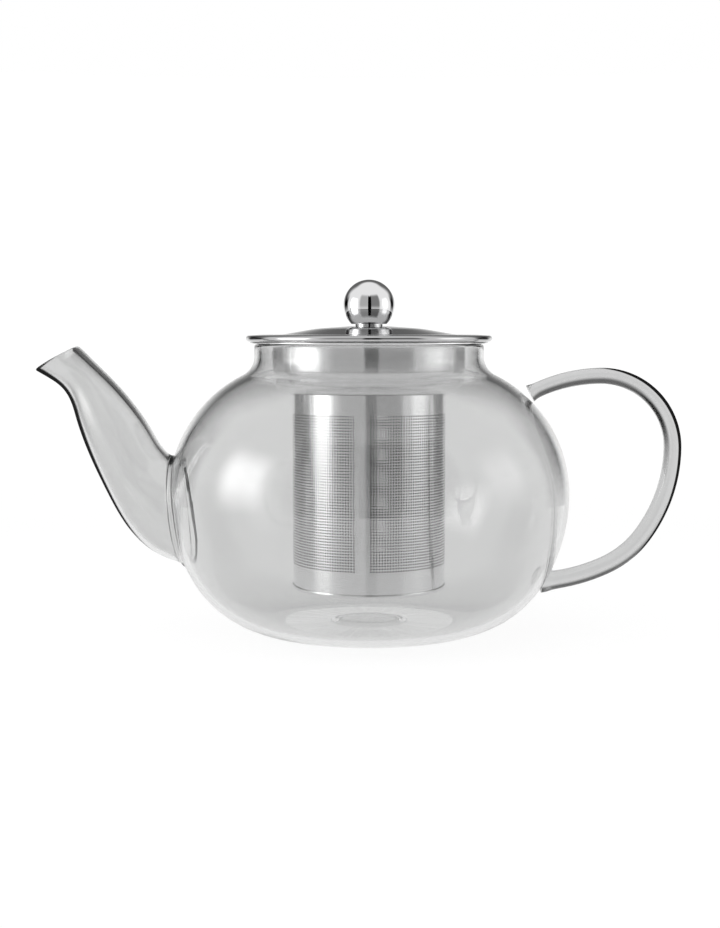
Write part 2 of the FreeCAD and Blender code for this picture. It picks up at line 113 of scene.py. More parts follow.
class TeapotGlassSizes(bpy.types.PropertyGroup):
    """Blown bowl, spout and rod handle."""

    body_radius: length("Bowl radius", "Widest outside radius", float(POT_HIGH[0]))
    foot_inset: length("Foot inset", "From the bowl's side in to the flat foot", 44.6 * MM)
    foot_corner: length("Foot curve", "Radius of the curve that leaves the foot", 40.8 * MM)
    belly_height: length("Belly height", "Height of the widest ring", 53.9 * MM)
    neck_radius: length("Neck radius", "Outside radius of the neck", 44.6 * MM)
    neck_fillet: length("Neck curve", "Radius of the hollow below the neck", 8.0 * MM)
    neck_start: length("Neck start", "Height where the neck is straight", 107.5 * MM)
    rim_height: length("Rim height", "Height of the glass rim", float(POT_HIGH[2]))
    wall: length("Wall", "Wall of the bowl", 2.6 * MM)
    punt_radius: length("Punt radius", "Radius of the raised button in the floor", 11.4 * MM)
    punt_rise: length("Punt rise", "Height of that button", 2.4 * MM)
    punt_slope: length("Punt slope", "Width of the button's sloping side", 2.5 * MM)
    spout_wall: length("Spout wall", "Wall of the spout", 1.8 * MM)
    spout_height: length("Spout height", "Height of the spout's axis at its root", 47.0 * MM)
    weld: length("Weld", "How far the melted joints stand out", 0.9 * MM)
    handle_reach: length("Handle reach", "From the bowl's side to the rod's axis", 40.7 * MM)
    handle_height: length("Handle height", "Height of the rod's outermost point", 71.8 * MM)
    rod_top: length("Rod at top", "Radius of the rod at its upper end", 2.95 * MM)
    rod_side: length("Rod at side", "Radius of the rod at its outermost point", 3.45 * MM)
    rod_bottom: length("Rod at bottom", "Radius of the rod at its lower end", 3.65 * MM)
    tint: colour("Glass tint", "Colour one wall gives to light", (0.775, 0.777, 0.776))
    rod_tint: colour("Rod tint", "Colour the handle gives to light", (0.60, 0.602, 0.602))
    ior: FloatProperty(
        name="Refractive index", description="Borosilicate glass", default=1.47, min=1.0, max=2.0
    )


class TeapotInfuserSizes(bpy.types.PropertyGroup):
    """Perforated tube under a pressed cup."""

    sheet: length("Sheet", "Thickness of the steel sheet", 0.6 * MM)
    cup_radius: length("Cup radius", "Outside radius of the cup", 38.0 * MM)
    cup_corner: length("Cup corner", "Radius of the cup's lower corner", 7.0 * MM)
    shoulder_drop: length("Shoulder", "Fall of the sloping shoulder", 3.7 * MM)
    band_low: length("Lower edge of holes", "Height of the lowest row", 26.8 * MM)
    pitch_up: length("Row pitch", "Distance between rows of holes", 1.076 * MM)
    rows: IntProperty(name="Rows", description="Rows of holes", default=55, min=1)
    columns: IntProperty(name="Columns", description="Pitches round the tube", default=176, min=8)
    seam_columns: IntProperty(
        name="Seam", description="Columns left plain at the welded seam", default=5, min=0
    )
    hole_radius: length("Hole radius", "Radius of each hole", 0.33 * MM)
    steel: colour("Sheet steel", "Colour of the rolled sheet", (0.88, 0.88, 0.882))


class TeapotLidSizes(bpy.types.PropertyGroup):
    """Domed lid with a ball knob."""

    sheet: length("Sheet", "Thickness of the lid", 0.6 * MM)
    bead: length("Rolled edge", "Radius of the rolled edge", 1.2 * MM)
    dome_flat: length("Knob seat", "Radius of the flat top", 7.0 * MM)
    dome_rise: length("Dome rise", "Height of the dome over the flat ring", 3.3 * MM)
    ring_inside: length("Ring inside", "Flat ring's reach inside the skirt", 3.0 * MM)
    ring_outside: length("Ring outside", "Flat ring's reach outside the skirt", 5.0 * MM)
    vent_radius: length("Vent radius", "Radius of the steam vent", 1.35 * MM)
    vent_offset: length("Vent offset", "From the axis to the vent", 22.7 * MM)
    hole_radius: length("Screw hole", "Radius of the hole for the screw", 2.05 * MM)
    steel: colour("Lid steel", "Colour of the polished lid", (0.5, 0.5, 0.503))
    knob_steel: colour("Knob steel", "Colour of the mirror-polished ball", (0.78, 0.78, 0.785))


class TeapotStageSizes(bpy.types.PropertyGroup):
    """Camera, floor and studio."""

    distance: length("Camera distance", "From the pot's axis to the camera", 0.6085)
    aside: length("Camera offset", "Camera's offset towards the spout", 0.0035)
    height: length("Camera height", "Height of the camera over the table", 0.1177)
    tilt: FloatProperty(
        name="Camera tilt", description="How far the camera looks down",
        default=math.radians(4.91), subtype="ANGLE",
    )
    lens: FloatProperty(
        name="Lens", description="Focal length in millimetres", default=60.52, min=1.0
    )
    floor: colour("Floor", "Colour of the pale floor", (0.93, 0.93, 0.93))
    floor_glow: FloatProperty(
        name="Floor light", description="Light the floor gives by itself", default=1.0, min=0.0
    )


# ---- outlines ------------------------------------------------------------------------------


def arc(centre, radius, start, end, step=0.9 * MM):
    """Points on a circle from one angle to another, both ends included."""
    count = max(3, int(abs(end - start) * radius / step) + 2)
    a = np.linspace(start, end, count)
    return np.stack([centre[0] + radius * np.cos(a), centre[1] + radius * np.sin(a)], 1)


def line(start, end, step=2.0 * MM):
    """Points along a straight run, both ends included."""
    start, end = np.array(start, float), np.array(end, float)
    count = max(2, int(np.linalg.norm(end - start) / step) + 2)
    return start + (end - start) * np.linspace(0, 1, count)[:, None]


def join(*runs):
    """One outline from runs laid end to end, without doubled points."""
    points = np.concatenate(runs)
    apart = np.linalg.norm(np.diff(points, axis=0), axis=1) > 1e-7
    return points[np.concatenate([[True], apart])]


def rounded(corners, radii, closed=False, step=0.35 * MM):
    """Outline through corners, each rounded by an arc that touches both of its sides."""
    corners = [np.array(c, float) for c in corners]
    count = len(corners)
    runs = []
    for i, (corner, radius) in enumerate(zip(corners, radii)):
        inner = closed or 0 < i < count - 1
        if not inner or radius <= 0:
            runs.append(corner[None])
            continue
        back = corners[i - 1] - corner
        ahead = corners[(i + 1) % count] - corner
        room = min(np.linalg.norm(back), np.linalg.norm(ahead))
        back, ahead = back / np.linalg.norm(back), ahead / np.linalg.norm(ahead)
        half = math.acos(np.clip(back @ ahead, -1, 1)) / 2
        reach = min(radius / math.tan(half), 0.495 * room)
        radius = reach * math.tan(half)
        middle = back + ahead
        centre = corner + middle / np.linalg.norm(middle) * radius / math.sin(half)
        first, last = corner + back * reach - centre, corner + ahead * reach - centre
        start = math.atan2(first[1], first[0])
        turn = math.atan2(
            first[0] * last[1] - first[1] * last[0], first @ last
        )
        runs.append(arc(centre, radius, start, start + turn, step))
    return join(*runs)


# ---- meshes --------------------------------------------------------------------------------


def mesh_object(name, points, quads, triangles=None, sharp=None):
    """Smooth mesh from whole arrays of points and faces; edges over the sharp angle stay crisp."""
    mesh = bpy.data.meshes.new(name)
    quads = np.asarray(quads, np.int32).reshape(-1, 4)
    if triangles is None:
        triangles = np.zeros((0, 3), np.int32)
    triangles = np.asarray(triangles, np.int32).reshape(-1, 3)
    mesh.vertices.add(len(points))
    mesh.vertices.foreach_set("co", np.asarray(points, np.float32).ravel())
    corners = np.concatenate([quads.ravel(), triangles.ravel()])
    mesh.loops.add(len(corners))
    mesh.loops.foreach_set("vertex_index", corners)
    sizes = np.concatenate([np.full(len(quads), 4), np.full(len(triangles), 3)])
    mesh.polygons.add(len(sizes))
    starts = np.concatenate([[0], np.cumsum(sizes)[:-1]]) if len(sizes) else sizes
    mesh.polygons.foreach_set("loop_start", starts.astype(np.int32))
    mesh.polygons.foreach_set("use_smooth", np.ones(len(sizes), bool))
    mesh.update(calc_edges=True)
    mesh.validate()
    if sharp is not None:
        mesh.set_sharp_from_angle(angle=math.radians(sharp))
    piece = bpy.data.objects.new(name, mesh)
    bpy.context.scene.collection.objects.link(piece)
    return piece


def grid_faces(rows, columns, row_wrap, column_wrap):
    """Quads between neighbouring points of a rows by columns grid."""
    i = np.arange(rows if row_wrap else rows - 1)
    j = np.arange(columns if column_wrap else columns - 1)
    i, j = np.meshgrid(i, j, indexing="ij")
    down, right = (i + 1) % rows, (j + 1) % columns
    upper, lower = i * columns, down * columns
    return np.stack([upper + j, upper + right, lower + right, lower + j], -1).reshape(-1, 4)


def only_used(points, faces):
    """The points that faces stand on, and the faces renumbered to match."""
    used = np.zeros(len(points), bool)
    used[faces.ravel()] = True
    return points[used], (np.cumsum(used) - 1)[faces]


def ring_points(radius, height, angle):
    """Rings about the upright axis: r cos a, r sin a, z for every row and angle."""
    radius, height = radius[:, None], height[:, None]
    return np.stack([radius * np.cos(angle), radius * np.sin(angle), height + 0 * angle], -1)


def fan(pole, ring, forward):
    """Triangles from a pole to each pair of neighbours in a ring of point numbers."""
    onward = np.roll(ring, -1)
    first, second = (ring, onward) if forward else (onward, ring)
    return np.stack([np.full(len(ring), pole), first, second], 1)


def capped(name, rows, sharp):
    """Tube of rings laid one after another, each end closed by a fan onto its middle point."""
    count, around = rows.shape[:2]
    points = np.concatenate([rows.reshape(-1, 3), [rows[0].mean(0)], [rows[-1].mean(0)]])
    ring, pole = np.arange(around), count * around
    last = (count - 1) * around + ring
    triangles = np.concatenate([fan(pole, ring, False), fan(pole + 1, last, True)])
    return mesh_object(name, points, grid_faces(count, around, False, True), triangles, sharp)


def turned(name, outline, segments=192, closed=False, sharp=35.0):
    """Surface of revolution: each outline point (r, z) goes round to r cos a, r sin a, z.

    The outline runs so that the solid is on its left. Ends on the axis are single points.
    """
    outline = np.asarray(outline, float)
    angle = np.linspace(0, 2 * np.pi, segments, endpoint=False)
    at_axis = outline[:, 0] < 1e-9
    ring = outline[~at_axis]
    points = ring_points(ring[:, 0], ring[:, 1], angle).reshape(-1, 3)
    last = (len(ring) - 1) * segments
    poles, triangles = [], [np.zeros((0, 3), int)]
    for end, start, forward in ((0, 0, False), (-1, last, True)):
        if at_axis[end]:
            triangles.append(fan(len(points) + len(poles), start + np.arange(segments), forward))
            poles.append([0, 0, outline[end, 1]])
    points = np.concatenate([points, np.reshape(poles, (-1, 3))])
    quads = grid_faces(len(ring), segments, closed, True)
    return mesh_object(name, points, quads, np.concatenate(triangles), sharp)


def place(piece, material, body, slot, *nodes):
    """Give a finished piece its material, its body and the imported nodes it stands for."""
    piece.data.materials.clear()
    piece.data.materials.append(material)
    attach(piece, body)
    if nodes:
        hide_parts(*nodes)
    return piece


def pierced(
    name, outline, segments, closed, axis, rows, half, loop, rings=7, sharp=35.0, between=None
):
    """Surface of revolution with one passage from its outer face to its inner face.

    On each face a patch of the (angle, outline) grid is left out. Rings that pass smoothly from
    the patch's square edge to the passage's own loop fill it: each ring point lies on the surface
    at a share of the way, in angle and in length along the outline, from edge to loop. Between
    the two loops the passage is a plain wall, or the rings that between gives for the bearings.
    """
    outline = np.asarray(outline, float)
    count = len(outline)
    lengths = np.concatenate([[0], np.cumsum(np.linalg.norm(np.diff(outline, axis=0), axis=1))])
    turn = np.linspace(0, 2 * np.pi, segments, endpoint=False)
    grid = ring_points(outline[:, 0], outline[:, 1], turn)
    middle = segments // 2
    up, side = half
    kept = np.ones((count if closed else count - 1, segments), bool)
    quads = grid_faces(count, segments, closed, True).reshape(kept.shape + (4,))
    for row in rows:
        kept[row - up : row + up, middle - side : middle + side] = False
    points, faces = [grid.reshape(-1, 3)], [quads[kept]]
    total = count * segments
    loops = []
    there, back = np.arange(-side, side), np.arange(side, -side, -1)
    j = np.concatenate([there, np.full(2 * up, side), back, np.full(2 * up, -side)])
    there, back = np.arange(-up, up), np.arange(up, -up, -1)
    i = np.concatenate([np.full(2 * side, -up), there, np.full(2 * side, up), back])
    size = len(i)
    onward = np.roll(np.arange(size), -1)
    opposite = (4 * side + 2 * up - np.arange(size)) % size

    def add_ring(last, ring):
        """Join a new ring of points to the last one, and give the new ring's numbers."""
        nonlocal total
        here = total + np.arange(size)
        total += size
        points.append(ring)
        faces.append(np.stack([last, last[onward], here[onward], here], 1))
        return here

    for face, row in enumerate(rows):
        edge_length, edge_turn = lengths[row + i], turn[middle + j]
        if face == 0:
            across = (edge_turn - turn[middle]) * outline[row, 0]
            bearing = np.unwrap(np.arctan2(edge_length - lengths[row], across))
        where = bearing if face == 0 else bearing[opposite]
        place_on, loop_turn = loop(where, face)
        near = slice(row - up, row + up + 1)
        order = np.argsort(outline[near, axis])
        loop_length = np.interp(place_on, outline[near, axis][order], lengths[near][order])
        last = (row + i) * segments + middle + j
        for ring in range(1, rings + 1):
            share = ring / rings
            share = 0.4 * share * share * (3 - 2 * share) + 0.6 * share  # eased at both ends
            s = edge_length + (loop_length - edge_length) * share
            a = edge_turn + (loop_turn - edge_turn) * share
            r, z = np.interp(s, lengths, outline[:, 0]), np.interp(s, lengths, outline[:, 1])
            last = add_ring(last, np.stack([r * np.cos(a), r * np.sin(a), z], 1))
        loops.append(last)
    last, inner = loops[0], loops[1][opposite]
    for ring in between(bearing) if between else ():
        last = add_ring(last, ring)
    faces.append(np.stack([last, last[onward], inner[onward], inner], 1))
    points, faces = np.concatenate(points), np.concatenate(faces)
    if not closed:  # both ends of the outline lie on the axis, so each is one point
        for start in (0, (count - 1) * segments):
            faces[(faces >= start) & (faces < start + segments)] = start
    points, faces = only_used(points, faces)
    flat = (faces[:, 0] == faces[:, 1]) | (faces[:, 2] == faces[:, 3])
    three = faces[flat]
    first_pole = three[:, 0] == three[:, 1]
    triangles = np.where(first_pole[:, None], three[:, [0, 2, 3]], three[:, [0, 1, 2]])
    return mesh_object(name, points, faces[~flat], triangles, sharp)


# ---- glass ---------------------------------------------------------------------------------

GLASS_STEP = 1.5 * MM  # between outline points of the bowl
BEND_STEP = 0.6 * MM  # the same in the tight hollow below the neck


def bowl_arcs(sizes, inset):
    """Four tangent arcs of the bowl's wall from foot to neck, moved inward by inset.

    The two middle radii follow from the rule that each arc touches the next without a corner.
    """
    wide, foot = sizes.body_radius, sizes.body_radius - sizes.foot_inset
    corner, belly = sizes.foot_corner, sizes.belly_height
    neck, hollow, start = sizes.neck_radius, sizes.neck_fillet, sizes.neck_start
    span = wide - foot
    lower = (span**2 + belly**2 - 2 * belly * corner) / (2 * (span - corner))
    reach, rise = neck + hollow - wide, start - belly
    upper = (reach**2 + rise**2 - hollow**2) / (2 * (hollow - reach))
    low = math.atan2(corner - belly, foot - (wide - lower))
    high = math.atan2(rise, neck + hollow - (wide - upper))
    return join(
        arc((foot, corner), corner - inset, -math.pi / 2, low, GLASS_STEP),
        arc((wide - lower, belly), lower - inset, low, 0, GLASS_STEP),
        arc((wide - upper, belly), upper - inset, 0, high, GLASS_STEP),
        arc((neck + hollow, start), hollow + inset, math.pi + high, math.pi, BEND_STEP),
    )


def bowl_outline(sizes):
    """Foot with its button, outer wall, round rim, inner wall and floor; and where it turns in."""
    wall, rim, neck = sizes.wall, sizes.rim_height, sizes.neck_radius
    button, slope, rise = sizes.punt_radius, sizes.punt_slope, sizes.punt_rise
    foot = sizes.body_radius - sizes.foot_inset
    soft = [0, 3.5 * MM, 3.5 * MM, 0]
    swell = 0.3 * rise  # the molten floor levels out over the button
    below = rounded([(0, rise), (button, rise), (button + slope, 0), (foot, 0)], soft)
    above = rounded(
        [(0, wall + swell), (button, wall + swell), (button + slope, wall), (foot, wall)], soft
    )
    outside = join(
        below, bowl_arcs(sizes, 0), line((neck, sizes.neck_start), (neck, rim - wall / 2))
    )
    lip = arc((neck - wall / 2, rim - wall / 2), wall / 2, 0, math.pi, 0.25 * MM)
    inside = join(
        line((neck - wall, rim - wall / 2), (neck - wall, sizes.neck_start)),
        bowl_arcs(sizes, wall)[::-1],
        above[::-1],
    )
    return join(outside, lip, inside), outside, inside


def outside_by(sizes, points, inset=0.0):
    """How far points stand outside the bowl's wall, measured square to the wall."""
    _, outside, inside = bowl_outline(sizes)
    wall = outside if inset == 0.0 else inside[::-1]
    wall = wall[wall[:, 0] > 0.8 * (sizes.body_radius - sizes.foot_inset)]
    radius = np.hypot(points[..., 0], points[..., 1])
    here = np.interp(points[..., 2], wall[:, 1], wall[:, 0])
    slope = np.gradient(wall[:, 0], wall[:, 1] + np.arange(len(wall)) * 1e-9)
    slope = np.interp(points[..., 2], wall[:, 1], slope)
    return (radius - here) / np.sqrt(1 + slope**2)


def crossing(surface, height, low, high, steps=40):
    """Parameter where a run of a surface reaches a height over the bowl, by halving."""
    for _ in range(steps):
        middle = (low + high) / 2
        beyond = height(surface(middle)) > 0
        low, high = np.where(beyond, low, middle), np.where(beyond, middle, high)
    return (low + high) / 2


def smooth_through(knots, values, where):
    """Natural cubic spline through values at the knots, worked out with its second derivatives."""
    knots, values = np.asarray(knots, float), np.asarray(values, float)
    count = len(knots)
    step = np.diff(knots)
    matrix, right = np.eye(count), np.zeros((count, values.shape[1]))
    for k in range(1, count - 1):
        matrix[k, k - 1 : k + 2] = step[k - 1], 2 * (step[k - 1] + step[k]), step[k]
        right[k] = 6 * (
            (values[k + 1] - values[k]) / step[k] - (values[k] - values[k - 1]) / step[k - 1]
        )
    bend = np.linalg.solve(matrix, right)
    k = np.clip(np.searchsorted(knots, where) - 1, 0, count - 2)
    h = step[k][..., None]
    a = (knots[k + 1][..., None] - where[..., None]) / h
    b = 1 - a
    return (
        a * values[k]
        + b * values[k + 1]
        + ((a**3 - a) * bend[k] + (b**3 - b) * bend[k + 1]) * h * h / 6
    )


PASSAGE_RISE = 3.0 * MM  # middle of the spout's root over the height of its axis
SPOUT_SEARCH = 40.0  # how far along the spout, in millimetres, its root is looked for
# One row for each round section of the spout: reach past the bowl's side, rise over the root's
# axis, lean of the axis over level in degrees, outside diameter. Lengths are in millimetres.
SPOUT_SECTIONS = np.array(
    [
        (-18.0, -1.0, 10.0, 41.0),
        (3.0, 3.2, 18.0, 36.6),
        (12.6, 14.4, 45.0, 28.6),
        (18.6, 25.8, 58.0, 26.2),
        (27.3, 42.0, 57.0, 21.0),
        (36.8, 54.9, 50.0, 16.2),
        (42.9, 59.4, 61.0, 18.9),
    ]
)


def spout_surface(sizes, inset=0.0, weld=0.0, fade=1.0, wall=0.0):
    """The spout as a function of distance along it and angle round it.

    Centre, lean and radius run smoothly through the sections. A point is the centre plus the
    radius times (sine of the angle) along the section's own up and (cosine) across. Near the bowl
    the radius grows by the weld, fading with distance from the bowl's outer or inner wall.
    """
    rows = SPOUT_SECTIONS
    knots = np.concatenate([[0], np.cumsum(np.hypot(*np.diff(rows[:, :2], axis=0).T))])

    def surface(along, angle):
        along, angle = np.broadcast_arrays(np.asarray(along, float), angle)
        reach, rise, lean, width = np.moveaxis(smooth_through(knots, rows, along), -1, 0)
        lean = np.radians(lean)
        x = -(sizes.body_radius + reach * MM)
        z = sizes.spout_height + rise * MM

        def at(radius):
            up, across = radius * np.sin(angle), radius * np.cos(angle)
            return np.stack([x + up * np.sin(lean), across, z + up * np.cos(lean)], -1)

        radius = width * MM / 2 - inset
        if weld:
            away = np.maximum(outside_by(sizes, at(radius), wall), 0)
            radius = radius + weld * np.exp(-away / fade)
        return at(radius)

    return surface, knots[-1]


def make_pot(sizes):
    """Bowl of one wall with a round rim, drawn out into its spout as one skin of glass.

    The outer wall runs from the bowl along the spout's outside, over a round lip, and back along
    the bore to the bowl's inner wall.
    """
    outline, outside, inside = bowl_outline(sizes)
    weld = sizes.weld
    outer, far = spout_surface(sizes, 0.0, 1.7 * weld, weld)
    bore, _ = spout_surface(sizes, sizes.spout_wall, 1.1 * weld, weld, sizes.wall)
    centre = sizes.spout_height + PASSAGE_RISE

    def root(run, bearing, inset):
        return crossing(
            lambda along: run(along, np.pi - bearing),
            lambda p: outside_by(sizes, p, inset),
            np.zeros(len(bearing)),
            np.full(len(bearing), SPOUT_SEARCH),
        )

    def loop(bearing, face):
        run = (outer, bore)[face]
        point = run(root(run, bearing, sizes.wall * face), np.pi - bearing)
        return point[:, 2], np.arctan2(point[:, 1], point[:, 0]) % (2 * np.pi)

    def between(bearing):
        share = (np.linspace(0, 1, 96) ** 1.6)[:, None]
        runs = []
        for face, run in enumerate((outer, bore)):
            start = root(run, bearing, sizes.wall * face)
            along = start + (far - start) * share
            runs.append(run(along, np.broadcast_to(np.pi - bearing, along.shape)))
        middle = (runs[0][-1] + runs[1][-1]) / 2
        across = (runs[0][-1] - runs[1][-1]) / 2
        forward = runs[0][-1] - runs[0][-3]
        forward /= np.linalg.norm(forward, axis=1, keepdims=True)
        forward *= np.linalg.norm(across, axis=1, keepdims=True)
        turn = np.linspace(0, np.pi, 12)[1:-1, None, None]
        lip = middle + across * np.cos(turn) + forward * np.sin(turn)
        return np.concatenate([runs[0][1:], lip, runs[1][:0:-1]])

    def nearest(wall):
        """Row of a wall's outline at the passage's height, leaving out the foot and its button."""
        return int(np.argmin(np.abs(wall[:, 1] - centre) + (wall[:, 0] < 0.06)))

    first, second = nearest(outside), len(outline) - len(inside) + nearest(inside)
    return pierced(
        "bowl_and_spout", outline, 256, False, 1, (first, second), (17, 15), loop,
        rings=7, sharp=70.0, between=between,
    )


# Bends of the handle from its upper end: radius in millimetres, and the bearings from the bend's
# centre at which it starts and ends, in degrees. The third starts at the outermost point.
HANDLE_BENDS = (
    (60.7, 117.6, 90.6),
    (28.1, 90.6, 0.0),
    (58.0, 0.0, -37.0),
    (37.2, -37.0, -64.8),
    (69.3, -64.8, -86.8),
)
SIDE_BEND = 2
WELD_REACH = 2.6 * MM  # how far the melted swelling runs up the rod


def handle_surface(sizes, weld=0.0):
    """The rod as a function of length along it, angle round it and share of its radius.

    The axis follows the bends, each touching the next. A point is the axis plus the radius times
    (cosine) outward in the handle's plane and (sine) across it.
    """
    bends = [(r * MM, math.radians(a), math.radians(b)) for r, a, b in HANDLE_BENDS]
    lengths = np.concatenate([[0], np.cumsum([r * (a - b) for r, a, b in bends])])
    side = lengths[SIDE_BEND]
    centres = [None] * len(bends)
    outermost = sizes.body_radius + sizes.handle_reach, sizes.handle_height
    downward = range(SIDE_BEND, len(bends))
    upward = range(SIDE_BEND - 1, -1, -1)
    for run, near, beyond in ((downward, 1, 2), (upward, 2, 1)):
        x, z = outermost
        for k in run:
            r, here, there = bends[k][0], bends[k][near], bends[k][beyond]
            centres[k] = (x - r * math.cos(here), z - r * math.sin(here))
            x, z = centres[k][0] + r * math.cos(there), centres[k][1] + r * math.sin(there)
    radii = np.array([b[0] for b in bends])
    begin = np.array([b[1] for b in bends])
    centres = np.array(centres)

    def surface(along, angle, share=1.0):
        along, angle = np.broadcast_arrays(np.asarray(along, float), angle)
        k = np.clip(np.searchsorted(lengths, along) - 1, 0, len(bends) - 1)
        turn = begin[k] - (along - lengths[k]) / radii[k]
        out_x, out_z = np.cos(turn), np.sin(turn)
        axis_x = centres[k, 0] + radii[k] * out_x
        axis_z = centres[k, 1] + radii[k] * out_z
        radii_at = sizes.rod_top, sizes.rod_side, sizes.rod_bottom
        rod = np.interp(along, (0, side, lengths[-1]), radii_at)
        if weld:
            axis = np.stack([axis_x, 0 * axis_x, axis_z], -1)
            away = np.maximum(outside_by(sizes, axis), 0)
            rod = rod + weld * np.exp(-((away / WELD_REACH) ** 2))
        rod = rod * share
        outward, across = rod * np.cos(angle), rod * np.sin(angle)
        return np.stack([axis_x + outward * out_x, across, axis_z + outward * out_z], -1)

    return surface, lengths


def make_handle(sizes):
    """Bent rod that swells a little where each end melts onto the bowl."""
    surface, lengths = handle_surface(sizes, sizes.weld)
    around, along_count = 48, 260
    angle = np.linspace(2 * np.pi, 0, around, endpoint=False)  # falling: faces look outward

    def clear(points):
        return outside_by(sizes, points) - HAIR

    inward = (1.0, 0.8, 0.55, 0.25)  # shares of the radius at which each end is closed in
    caps, ends = [], []
    for inside, beyond in ((0.0, lengths[1]), (lengths[-1], lengths[3])):
        rings = []
        for share in inward:
            low, high = np.full(around, inside), np.full(around, beyond)
            at = crossing(lambda s: surface(s, angle, share), clear, low, high)
            rings.append(surface(at, angle, share))
            if share == 1.0:
                ends.append(at)
        caps.append(rings)
    share = np.linspace(0, 1, along_count)[:, None]
    along = ends[0] + (ends[1] - ends[0]) * share
    body = surface(along, np.broadcast_to(angle, along.shape))
    rows = np.concatenate([np.array(caps[0][:0:-1]), body, np.array(caps[1][1:])])
    return capped("rod_handle", rows, 50.0)


# ---- infuser -------------------------------------------------------------------------------

TUBE_SECTORS = 3
SEAM_BEARING = math.radians(264.0)  # the weld lies almost in front


def make_cup(sizes):
    """Collar of the infuser: flange, rolled bend, cylinder, rounded corner, sloping shoulder."""
    cup, sheet = sizes.cup_radius, sizes.sheet
    tube = TUBE_HIGH[0]
    flange, top = CUP_HIGH[0], CUP_HIGH[2]
    foot = CUP_LOW[2] + HAIR
    corner = foot + sizes.shoulder_drop
    seat = top - sheet
    corners = [
        (tube - sheet, foot), (tube, foot), (cup, corner), (cup, seat), (flange, seat),
        (flange, top), (cup - sheet, top), (cup - sheet, corner + 0.75 * sheet),
        (tube - sheet, foot + 1.1 * sheet),
    ]
    wide, bend, edge, heel = sizes.cup_corner, 1.1 * MM, 0.28 * MM, 0.4 * MM
    radii = [0, 0, wide, bend, edge, edge, bend + sheet, wide - sheet, heel]
    return turned("cup_collar", rounded(corners, radii, closed=True), 256, closed=True)


def make_tube_sector(sizes, sector, sectors):
    """One sector of the rolled tube, with a hole in every cell of its band.

    Each cell is a square with an eight-sided hole: the square's eight edge points and the hole's
    eight corners share the same eight directions. A point stands at radius r, angle round the
    tube and height. The plain strip beside the weld has no holes.
    """
    wide = 2 * math.pi / sizes.columns
    strip, total = sizes.seam_columns, sizes.columns
    first, last = sector * total // sectors, (sector + 1) * total // sectors
    number = np.arange(first, last)
    open_cell = (number >= (strip + 1) // 2) & (number < total - strip // 2)
    across = (np.arange(2 * len(number) + 1) / 2 + first) * wide + SEAM_BEARING
    low, high = TUBE_LOW[2] + HAIR, TUBE_HIGH[2]
    band = np.arange(2 * sizes.rows + 1) / 2 * sizes.pitch_up + sizes.band_low
    plain_low = np.linspace(low, sizes.band_low, 5)[:-1]
    plain_high = np.linspace(band[-1], high, 5)[1:]
    heights = np.concatenate([plain_low, band, plain_high])
    before = len(plain_low)
    outer_radius = TUBE_HIGH[0]
    radii = (outer_radius, outer_radius - sizes.sheet)
    rows, cols = len(heights), len(across)
    base = np.arange(rows * cols).reshape(rows, cols)
    cell_row = before + 2 * np.arange(sizes.rows)
    cell_col = 2 * np.nonzero(open_cell)[0]
    cr, cc = [m.ravel() for m in np.meshgrid(cell_row, cell_col, indexing="ij")]
    around = np.arange(8) * math.pi / 4
    hole_turn = sizes.hole_radius / outer_radius * np.cos(around)
    hole_rise = sizes.hole_radius * np.sin(around)
    step_col = np.array([2, 2, 1, 0, 0, 0, 1, 2])
    step_row = np.array([1, 2, 2, 2, 1, 0, 0, 0])
    square = base[cr[:, None] + step_row, cc[:, None] + step_col]
    ring = rows * cols + np.arange(len(cr) * 8).reshape(-1, 8)
    onward = np.roll(np.arange(8), -1)
    collar = np.stack([square, square[:, onward], ring[:, onward], ring], -1).reshape(-1, 4)
    holed = np.zeros((rows - 1, cols - 1), bool)
    for down in (0, 1):
        for right in (0, 1):
            holed[cr + down, cc + right] = True
    plain = grid_faces(rows, cols, False, False).reshape(rows - 1, cols - 1, 4)[~holed]
    sheet_faces = np.concatenate([plain, collar])
    turns = (across[cc + 1][:, None] + hole_turn).ravel()
    rises = (heights[cr + 1][:, None] + hole_rise).ravel()
    turn = np.concatenate([np.tile(across, rows), turns])
    rise = np.concatenate([np.repeat(heights, cols), rises])
    points = np.concatenate(
        [np.stack([r * np.cos(turn), r * np.sin(turn), rise], 1) for r in radii]
    )
    depth = len(turn)
    walls = np.stack([ring, ring[:, onward], ring[:, onward] + depth, ring + depth], -1)
    rims = []
    for edge in (base[0], base[:, -1], base[-1, ::-1], base[::-1, 0]):
        rims.append(np.stack([edge[1:], edge[:-1], edge[:-1] + depth, edge[1:] + depth], -1))
    faces = np.concatenate(
        [sheet_faces, sheet_faces[:, ::-1] + depth, walls.reshape(-1, 4), *rims]
    )
    return mesh_object(f"tube_sector_{sector + 1}", *only_used(points, faces), None, 40.0)


def make_base(sizes):
    """Cap under the tube, with its crimped rim and a shallow pressed panel."""
    low, high = BASE_LOW[2], BASE_HIGH[2]
    edge, tube = BASE_HIGH[0], TUBE_HIGH[0] + HAIR
    sheet = sizes.sheet
    panel, panel_radius, slope = 0.45 * MM, 22.0 * MM, 1.5 * MM
    inner_radius = panel_radius - 0.3 * MM
    corners = [
        (0, low + panel), (panel_radius, low + panel), (panel_radius + slope, low), (edge, low),
        (edge, high), (tube, high), (tube, low + sheet), (inner_radius + slope, low + sheet),
        (inner_radius, low + sheet + panel), (0, low + sheet + panel),
    ]
    soft = (0, 0.8, 0.8, 0.35, 0.18, 0.18, 0, 0.8, 0.8, 0)
    return turned("base_cap", rounded(corners, [r * MM for r in soft]), 256)


# ---- lid -----------------------------------------------------------------------------------


